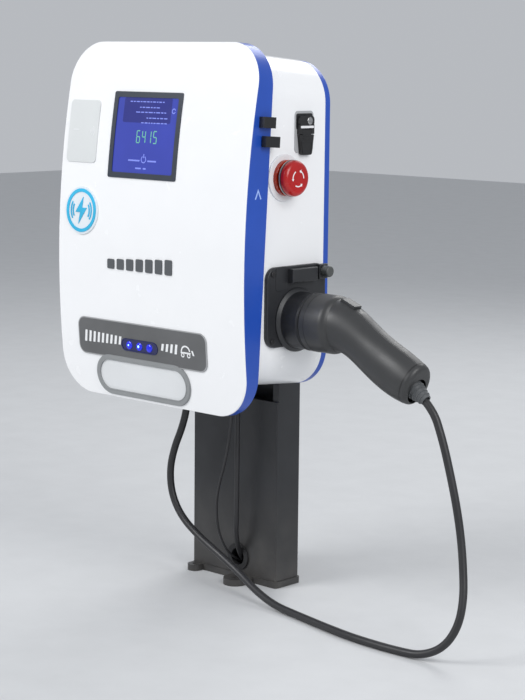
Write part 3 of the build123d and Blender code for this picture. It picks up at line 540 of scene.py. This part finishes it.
def make_lights():
    """Three domed lenses on the blue window, with a spark in two of them, and its rim."""
    lenses = bmesh.new()
    sparks = bmesh.new()
    lift = (on_face(LED_X, LED_Z, 3.0) - on_face(LED_X, LED_Z, 2.0)).normalized()
    turn = lift.to_track_quat("X", "Z").to_matrix().to_4x4()
    dome = [(0, 6.2), (0.6, 6.0), (1.3, 5.0), (1.9, 3.4), (2.1, 1.8), (2.1, 0)]
    for index, spark in ((-1, 0.7), (0, 1.0), (1, 0.0)):
        place = Matrix.Translation(on_face(LED_X + index * LED_STEP, LED_Z, 2.0)) @ turn
        lathe(lenses, [(along * MM, radius * MM) for along, radius in dome], place, 32)
        if spark:
            tip = [(0.0018, 0.0022 * spark), (0.0024, 0.0014 * spark), (0.0026, 0)]
            lathe(sparks, tip, place, 20)
    piece("light_lenses", lenses, "led_lens", "door")
    piece("light_sparks", sparks, "led_spark", "door")
    rim = bmesh.new()
    outer = round_box(LED_X, LED_Z, 76.4, 18.4, 9.1, 12)
    inner = round_box(LED_X, LED_Z, 72.6, 14.6, 7.2, 12)
    face_band(rim, outer, inner, 1.2, 2.6)
    rounded(piece("light_rim", rim, "led_blue", "door"), 0.0004)


def make_pad_marks():
    """Card outline and waves on the card reader pad."""
    pad = bmesh.new()
    face_prism(pad, round_box(-163, 130, 13, 2, 0.9, 4), PAD_LOW, PAD_HIGH)
    for radius in (5, 9, 13):
        face_prism(pad, arc_strip(-137, 128, radius, 1.3, -38, 38, 12), PAD_LOW, PAD_HIGH)
    piece("pad_marks", pad, "oval_light", "door", smooth=False)


def make_oval_lips():
    """Raised lip inside the oval frame and a step round it."""
    lip = bmesh.new()
    outer = round_box(OVAL_X, OVAL_Z, 183.5, 46.5, 23.2, 16)
    inner = round_box(OVAL_X, OVAL_Z, 180.4, 43.4, 21.7, 16)
    face_band(lip, outer, inner, 0.6, 3.1)
    rounded(piece("oval_lip", lip, "oval_grey", "door"), 0.0005)
    step = bmesh.new()
    outer = round_box(OVAL_X, OVAL_Z, 196.6, 59.6, 29.8, 16)
    inner = round_box(OVAL_X, OVAL_Z, 193, 56, 28, 16)
    face_band(step, outer, inner, -0.4, 1.6)
    rounded(piece("oval_outer_lip", step, "oval_grey", "door"), 0.0005)


make_badge()
make_strip_marks()
make_lights()
make_pad_marks()
make_oval_lips()


# ---- cables -------------------------------------------------------------------------------------

HOLSTER_Y = -0.0982
LEAD_DIP = radians(32)
LEAD_START = Vector((0.343, HOLSTER_Y, 0.3921))
LEAD_AXIS = Vector((cos(LEAD_DIP), 0, -sin(LEAD_DIP)))
RELIEF_START = 0.062
RELIEF_END = 0.094
RELIEF_RADIUS = 0.0154
RELIEF_TAPER = 0.244
CHARGE_RADIUS = 0.0055


def lead_point(along):
    """A point on the line along which the lead leaves the grip."""
    return LEAD_START + LEAD_AXIS * along


CHARGE_ROUTE = [
    (-0.038, -0.088, 0.342), (-0.038, -0.088, 0.302), (-0.043, -0.087, 0.265), (-0.054, -0.086, 0.235),
    (-0.070, -0.086, 0.203), (-0.080, -0.086, 0.168), (-0.076, -0.086, 0.130), (-0.055, -0.086, 0.098),
    (-0.018, -0.086, 0.074), (0.030, -0.087, 0.053), (0.072, -0.089, 0.034), (0.116, -0.099, 0.017),
    (0.163, -0.109, 0.007), (0.216, -0.118, 0.0057), (0.272, -0.130, 0.0057), (0.332, -0.141, 0.0057),
    (0.384, -0.144, 0.0057), (0.422, -0.1435, 0.0058), (0.458, -0.141, 0.0072), (0.489, -0.134, 0.023),
    (0.5045, -0.124, 0.052), (0.5045, -0.113, 0.087), (0.495, -0.103, 0.126), (0.486, -0.098, 0.167),
    (0.477, -0.098, 0.209), (0.465, -0.098, 0.251), (0.452, -0.0982, 0.292),
]
CHARGE_ROUTE += [tuple(lead_point(RELIEF_END + 0.012)), tuple(lead_point(RELIEF_START + 0.004))]
SUPPLY_ROUTE = [
    (0.030, -0.052, 0.340), (0.030, -0.052, 0.290), (0.0295, -0.0515, 0.235), (0.030, -0.052, 0.180),
    (0.0295, -0.052, 0.132), (0.029, -0.0515, 0.104), (0.025, -0.048, 0.078), (0.020, -0.039, 0.057),
    (0.014, -0.027, 0.040), (0.010, -0.014, 0.027),
]
DATA_ROUTE = [
    (0.040, -0.072, 0.338), (0.040, -0.072, 0.292), (0.032, -0.069, 0.240), (0.017, -0.064, 0.190),
    (0.000, -0.061, 0.150), (-0.007, -0.059, 0.116), (-0.005, -0.057, 0.082), (0.000, -0.049, 0.055),
    (0.003, -0.035, 0.037), (0.004, -0.014, 0.026),
]


def route_curve(name, route, radius):
    """Smooth curve that has the route's points as its control points."""
    data = bpy.data.curves.new(name, "CURVE")
    data.dimensions = "3D"
    data.resolution_u = 10
    data.bevel_depth = radius
    data.bevel_resolution = 5
    data.use_fill_caps = radius > 0
    spline = data.splines.new("NURBS")
    spline.points.add(len(route) - 1)
    for point, place in zip(spline.points, route):
        point.co = (*place, 1)
    spline.order_u = 3
    spline.use_endpoint_u = True
    obj = bpy.data.objects.new(name, data)
    bpy.context.scene.collection.objects.link(obj)
    return obj


def read_line(route):
    """Points read from the smooth curve of a route."""
    curve = route_curve("reading", route, 0)
    line = [v.co.copy() for v in bpy.data.meshes.new_from_object(curve).vertices]
    bpy.data.objects.remove(curve)
    return line


def tube(name, line, radius, around=20):
    """Mesh tube along a line of points."""
    mesh = bmesh.new()
    side = Vector((0, 1, 0))
    rings = []
    for index, point in enumerate(line):
        ahead = line[min(index + 1, len(line) - 1)] - line[max(index - 1, 0)]
        ahead.normalize()
        side = (side - ahead * side.dot(ahead)).normalized()
        other = ahead.cross(side)
        ring = []
        for step in range(around):
            angle = tau * step / around
            ring.append(mesh.verts.new(point + (side * cos(angle) + other * sin(angle)) * radius))
        rings.append(ring)
    for first, second in zip(rings, rings[1:]):
        for step in range(around):
            after = (step + 1) % around
            mesh.faces.new((first[step], first[after], second[after], second[step]))
    mesh.faces.new(rings[0])
    mesh.faces.new(rings[-1])
    bmesh.ops.recalc_face_normals(mesh, faces=mesh.faces)
    data = bpy.data.meshes.new(name)
    mesh.to_mesh(data)
    mesh.free()
    data.shade_smooth()
    obj = bpy.data.objects.new(name, data)
    bpy.context.scene.collection.objects.link(obj)
    return obj


def make_cables():
    """Lead of the charging gun, bent between the box and the gun, and two leads on the column."""
    line = read_line(CHARGE_ROUTE)
    charge = tube("charging_lead", line, CHARGE_RADIUS)
    dress(charge, "cable_black")
    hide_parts("charging_cable")
    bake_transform(charge)
    for name, route, width, length, node in (
            ("supply_lead", SUPPLY_ROUTE, 0.0075, 0.326, "supply_cable"),
            ("data_lead", DATA_ROUTE, 0.004, 0.338, "data_cable")):
        lead = route_curve(name, route, width / 2)
        dress(lead, "cable_black")
        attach(lead, "root")
        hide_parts(node)


make_cables()


# ---- stop button --------------------------------------------------------------------------------

ESTOP = Vector((0.183, -0.1227, 0.6275))
LOCK = Vector((0.183, -0.0832, 0.704))
LEVER_FACE = LOCK.x + 0.0066
RING_SIDES = 72


def band_profile(start, end, inner, outer):
    """Profile of a plain ring about the X axis, in metres from mm."""
    corners = ((start, inner), (start, outer), (end, outer), (end, inner))
    return [(along * MM, radius * MM) for along, radius in corners]


def ring_about(name, centre, profile, finish, body, bevel=0.0003):
    """Closed ring turned about an axis along X through a centre."""
    mesh = bmesh.new()
    rings = []
    for along, radius in profile:
        ring = []
        for index in range(RING_SIDES):
            angle = tau * index / RING_SIDES
            ring.append(mesh.verts.new(centre + Vector((along, radius * cos(angle), radius * sin(angle)))))
        rings.append(ring)
    for first, second in zip(rings, rings[1:] + rings[:1]):
        for index in range(RING_SIDES):
            after = (index + 1) % RING_SIDES
            mesh.faces.new((first[index], first[after], second[after], second[index]))
    return rounded(piece(name, mesh, finish, body), bevel)


def plate_yz(mesh, outline, x0, x1):
    """Plate square to X from an outline of (y, z) points in metres."""
    back = [mesh.verts.new((x0, y, z)) for y, z in outline]
    front = [mesh.verts.new((x1, y, z)) for y, z in outline]
    mesh.faces.new(front)
    mesh.faces.new(list(reversed(back)))
    for index in range(len(outline)):
        after = (index + 1) % len(outline)
        mesh.faces.new((back[index], back[after], front[after], front[index]))


def in_metres(outline, centre):
    """Outline in mm about a centre, as (y, z) points in metres."""
    return [(centre.y + y * MM, centre.z + z * MM) for y, z in outline]


def make_stop_button():
    """Silver ring and black band behind the red head, and three turning arrows on it."""
    ring = band_profile(13.75, 15.2, 23, 25.5)
    ring_about("estop_ring", ESTOP, ring, "steel", "estop_knob")
    band = band_profile(15.3, 16.9, 24, 25.3)
    ring_about("estop_band", ESTOP, band, "black_plastic", "estop_knob")
    arrows = bmesh.new()
    front = ESTOP.x + 0.0269
    for start in (0, 120, 240):
        shaft = arc_strip(0, 0, 11, 1.6, start, start + 62, 14)
        tip = radians(start + 78)
        base = radians(start + 62)
        corners = ((8.4, base), (13.6, base), (11, tip))
        head = [(radius * cos(angle), radius * sin(angle)) for radius, angle in corners]
        for outline in (shaft, head):
            plate_yz(arrows, in_metres(outline, ESTOP), front, front + 0.0004)
    piece("estop_arrows", arrows, "mark_white", "estop_knob", smooth=False)


def make_lock_trim():
    """Dark well and key cylinder over the lever, a pale bar under them and a grip edge on the lever."""
    well = bmesh.new()
    plate_yz(well, in_metres(round_box(0, 0.5, 34, 22, 3), LOCK), LOCK.x + 0.0010, LOCK.x + 0.00145)
    piece("lock_well", well, "black_plastic", "root", smooth=False)
    key = bmesh.new()
    cylinder = [(0.0068, 0.0052), (0.0076, 0.0052), (0.0079, 0.0048), (0.0079, 0)]
    lathe(key, cylinder, Matrix.Translation(LOCK + Vector((0, 0.0055, 0.0012))), 32)
    piece("key_cylinder", key, "steel", "lock_core")
    bar = bmesh.new()
    plate_yz(bar, in_metres(round_box(0, -7.2, 27, 3.4, 1.2, 4), LOCK), LOCK.x + 0.0016, LOCK.x + 0.0078)
    rounded(piece("lock_pale_bar", bar, "plate_white", "lock_core", smooth=False), 0.0005)
    ridge = bmesh.new()
    for drop in (19.5, 23.5):
        bar_outline = round_box(0, -drop, 15.5, 1.4, 0.6, 3)
        plate_yz(ridge, in_metres(bar_outline, LOCK), LEVER_FACE, LOCK.x + 0.0074)
    outer = [(-11.6, -27), (11.6, -27), (8.9, -43.5), (-8.9, -43.5)]
    inner = [(-10.2, -28.4), (10.2, -28.4), (7.8, -42.1), (-7.8, -42.1)]
    for index in range(4):
        after = (index + 1) % 4
        side = [outer[index], outer[after], inner[after], inner[index]]
        plate_yz(ridge, in_metres(side, LOCK), LEVER_FACE, LOCK.x + 0.0073)
    piece("lever_ridges", ridge, "black_plastic", "lock_handle", smooth=False)


make_stop_button()
make_lock_trim()


# ---- gun and holster ----------------------------------------------------------------------------

HOLSTER = Vector((0.183, HOLSTER_Y, 0.4275))
GRIP_SPINE = [
    (0.294, 0.4198, 24), (0.313, 0.409, 30), (0.345, 0.3888, 30), (0.380, 0.371, 26), (0.404, 0.3613, 21),
]
RIB_STEPS = 24


def gun_surface():
    """Search tree over both shells of the gun."""
    corners = []
    faces = []
    for shell in ("gun_shell_front", "gun_shell_rear"):
        mesh = nodes[shell].data
        first = len(corners)
        corners += [vertex.co.copy() for vertex in mesh.vertices]
        faces += [[first + index for index in polygon.vertices] for polygon in mesh.polygons]
    return BVHTree.FromPolygons(corners, faces)


GUN = gun_surface()


def on_gun(centre, direction, lift):
    """Point a lift in mm over the gun, where a line from outside towards a centre meets it."""
    hit = GUN.ray_cast(centre + direction * 0.08, -direction)[0]
    return hit + direction * lift * MM


def spine_at(part):
    """Point and upright direction of the grip's middle line, from 0 to 1 along it."""
    reach = part * (len(GRIP_SPINE) - 1)
    index = min(int(reach), len(GRIP_SPINE) - 2)
    share = reach - index
    x0, z0, dip0 = GRIP_SPINE[index]
    x1, z1, dip1 = GRIP_SPINE[index + 1]
    dip = radians(dip0 + (dip1 - dip0) * share)
    point = Vector((x0 + (x1 - x0) * share, HOLSTER_Y, z0 + (z1 - z0) * share))
    return point, Vector((sin(dip), 0, cos(dip)))


def make_grip_rib():
    """Raised strip along the top of the grip, between its middle and its end."""
    mesh = bmesh.new()
    profile = ((-7.5, -0.6), (-6.6, 0.9), (6.6, 0.9), (7.5, -0.6))
    rows = []
    for step in range(RIB_STEPS + 1):
        point, up = spine_at(step / RIB_STEPS)
        row = []
        for across, lift in profile:
            row.append(mesh.verts.new(on_gun(point + Vector((0, across * MM, 0)), up, lift)))
        rows.append(row)
    for first, second in zip(rows, rows[1:]):
        for index in range(4):
            after = (index + 1) % 4
            mesh.faces.new((first[index], first[after], second[after], second[index]))
    mesh.faces.new(rows[0])
    mesh.faces.new(rows[-1])
    rounded(piece("grip_rib", mesh, "gun_black", "gun"), 0.0004)


def make_grip_band(name, part, width, proud, finish):
    """Narrow band round the grip, at a place along its middle line."""
    mesh = bmesh.new()
    loops = [[], [], [], []]
    point, up = spine_at(part)
    forward = Vector((up.z, 0, -up.x))
    for index in range(RING_SIDES):
        angle = tau * index / RING_SIDES
        way = up * cos(angle) + Vector((0, 1, 0)) * sin(angle)
        for loop, (shift, lift) in zip(loops, ((0, -0.3), (0, proud), (width, proud), (width, -0.3))):
            loop.append(mesh.verts.new(on_gun(point + forward * shift * MM, way, lift)))
    for first, second in zip(loops, loops[1:] + loops[:1]):
        for index in range(RING_SIDES):
            after = (index + 1) % RING_SIDES
            mesh.faces.new((first[index], first[after], second[after], second[index]))
    piece(name, mesh, finish, "gun")


def make_relief_ribs():
    """Ribs round the strain relief."""
    turn = LEAD_AXIS.to_track_quat("X", "Z").to_matrix().to_4x4()
    mesh = bmesh.new()
    for index in range(4):
        along = 0.072 + index * 0.0052
        radius = RELIEF_RADIUS - (along - RELIEF_START) * RELIEF_TAPER
        place = Matrix.Translation(lead_point(along)) @ turn
        rib = ((0, -0.0006), (0.0006, 0.0007), (0.0020, 0.0005), (0.0026, -0.0012))
        lathe(mesh, [(start, radius + proud) for start, proud in rib], place, 40)
    piece("relief_ribs", mesh, "relief_grey", "gun")


def make_holster_trim():
    """Step and flared base round the collar, and a seam on the gun's drum."""
    step = band_profile(36.5, 40.5, 37, 40.8)
    ring_about("collar_step", HOLSTER, step, "holster_black", "root", 0.0005)
    flare = [(0.006, 0.0392), (0.006, 0.0458), (0.008, 0.0455), (0.0118, 0.0412), (0.0118, 0.0392)]
    ring_about("collar_base", HOLSTER, flare, "holster_black", "root", 0.0006)
    seam = band_profile(53, 54.2, 38, 41.25)
    ring_about("drum_seam", HOLSTER, seam, "black_plastic", "gun", 0.0002)


def make_flange_trim():
    """Sockets in the flange screws and a raised pad on the flange."""
    sockets = bmesh.new()
    corners = [(2.2 * cos(tau * k / 6), 2.2 * sin(tau * k / 6)) for k in range(6)]
    for y, z in ((-51, 400), (49, 400), (-51, 495)):
        centre = Vector((0, HOLSTER_Y + y * MM, z * MM))
        plate_yz(sockets, in_metres(corners, centre), HOLSTER.x + 0.0079, HOLSTER.x + 0.00815)
    piece("screw_sockets", sockets, "rubber", "root", smooth=False)
    panel = bmesh.new()
    outline = in_metres(round_box(-34, 60, 22, 34, 4), HOLSTER)
    plate_yz(panel, outline, HOLSTER.x + 0.0055, HOLSTER.x + 0.0068)
    rounded(piece("flange_pad", panel, "holster_black", "root", smooth=False), 0.0005)


make_grip_rib()
# Raised band at the grip's end in a darker black than the shell: the darker colour is painted shade
# standing in for the hollow of a groove.
make_grip_band("grip_end_painted_groove_shade", 0.9475, 1.6, 0.25, "black_plastic")
make_relief_ribs()
make_holster_trim()
make_flange_trim()


# ---- small marks and inside fittings ------------------------------------------------------------

def make_band_arrow():
    """Small plain chevron on the blue band's right side."""
    mesh = bmesh.new()
    centre = Vector((0, -0.183, 0.608))
    for side in (-1, 1):
        limb = [(0, 7), (side * 6.5, -7), (side * 4.3, -7.6), (0, 2.5)]
        plate_yz(mesh, in_metres(limb, centre), 0.1908, 0.19125)
    piece("band_arrow", mesh, "pale_line", "door", smooth=False)


def stud(mesh, place, radius, height):
    """Low domed head that points to the front."""
    turn = Vector((0, -1, 0)).to_track_quat("X", "Z").to_matrix().to_4x4()
    profile = [(0, radius), (height * 0.6, radius), (height, radius * 0.7), (height, 0)]
    lathe(mesh, profile, Matrix.Translation(place) @ turn, 20)


def box_piece(mesh, centre, size):
    """Plain block about a centre."""
    place = Matrix.Translation(centre) @ Matrix.Diagonal((*size, 1))
    bmesh.ops.create_cube(mesh, size=1, matrix=place)


def make_gear_screws():
    """Screw heads on the terminals, the breaker and the meter."""
    screws = bmesh.new()
    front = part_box("terminal_blocks")[0][1]
    for index in range(8):
        for z in (0.452, 0.488):
            stud(screws, Vector((-0.1238 + index * 0.013, front, z)), 0.0032, 0.0012)
    rows = (("circuit_breaker", 4, 0.009, 0.0178), ("energy_meter", 3, 0.010, 0.016))
    for node, count, start, pitch in rows:
        low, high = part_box(node)
        for index in range(count):
            for z in (low[2] + 0.008, high[2] - 0.008):
                stud(screws, Vector((low[0] + start + index * pitch, low[1], z)), 0.0034, 0.0012)
    piece("gear_screws", screws, "steel", "root")


def make_meter_face():
    """Window and two lamps on the energy meter."""
    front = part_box("energy_meter")[0][1]
    window = bmesh.new()
    box_piece(window, (-0.030, front, 0.628), (0.036, 0.0016, 0.016))
    rounded(piece("meter_window", window, "meter_window", "root", smooth=False), 0.0004)
    lamps = bmesh.new()
    for x in (-0.016, -0.010):
        stud(lamps, Vector((x, front, 0.606)), 0.0018, 0.0015)
    piece("meter_lamps", lamps, "signal_red", "root")


def make_board_tops():
    """Black tops on the chips and bare tops on the capacitors."""
    low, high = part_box("control_board")
    caps = bmesh.new()
    for x in (-0.102, -0.062, 0.028):
        for z in (0.703, 0.738):
            box_piece(caps, (x, high[1] - 0.022, z), (0.0164, 0.0008, 0.0164))
    rounded(piece("chip_caps", caps, "black_plastic", "root", smooth=False), 0.0002)
    tops = bmesh.new()
    for x in (0.060, 0.080):
        stud(tops, Vector((x, low[1], 0.720)), 0.0069, 0.0006)
    piece("capacitor_tops", tops, "steel", "root")


def make_hinge_screws():
    """Two heads on each leaf on the box's left side."""
    mesh = bmesh.new()
    turn = Vector((-1, 0, 0)).to_track_quat("X", "Z").to_matrix().to_4x4()
    profile = [(0, 0.0042), (0.0008, 0.0042), (0.0016, 0.003), (0.0016, 0)]
    for middle in (-0.150, 0.150):
        for rise in (-0.020, 0.020):
            lathe(mesh, profile, Matrix.Translation(in_door(-0.186, 0.030, middle + rise)) @ turn, 24)
    piece("hinge_screws", mesh, "zinc", "root")


make_band_arrow()
make_gear_screws()
make_meter_face()
make_board_tops()
make_hinge_screws()


# ---- stage --------------------------------------------------------------------------------------

def make_floor():
    """Pale floor that belongs to the stage."""
    mesh = bmesh.new()
    bmesh.ops.create_grid(mesh, x_segments=2, y_segments=2, size=8)
    data = bpy.data.meshes.new("floor")
    mesh.to_mesh(data)
    mesh.free()
    floor = bpy.data.objects.new("floor", data)
    bpy.context.scene.collection.objects.link(floor)
    materials["floor"] = finish_of("floor", (0.6, 0.61, 0.62), 0.7, (200, 0.00005), tone=0.02)
    dress(floor, "floor")


def make_light(name, place, target, size, power):
    """Area light of a given width and height, pointed at a target."""
    data = bpy.data.lights.new(name, "AREA")
    data.shape = "RECTANGLE"
    data.size, data.size_y = size
    data.energy = power
    lamp = bpy.data.objects.new(name, data)
    bpy.context.scene.collection.objects.link(lamp)
    lamp.location = place
    lamp.rotation_euler = (Vector(target) - Vector(place)).to_track_quat("-Z", "Y").to_euler()


def make_world():
    """Even, slightly blue surroundings."""
    world = bpy.data.worlds.new("studio")
    world.use_nodes = True
    background = world.node_tree.nodes["Background"]
    background.inputs["Color"].default_value = (0.82, 0.85, 0.9, 1)
    background.inputs["Strength"].default_value = 0.58
    bpy.context.scene.world = world


make_floor()
make_world()
make_light("key", (-1.2, -2.8, 2.4), (0, -0.1, 0.5), (1.6, 1.6), 68)
make_light("side", (2.6, -0.6, 1.9), (0, -0.1, 0.5), (1.4, 1.8), 42)
make_light("rear", (-0.6, 2.2, 2.2), (0, 0, 0.5), (1.6, 1.2), 26)
bpy.context.scene.view_settings.view_transform = "Standard"
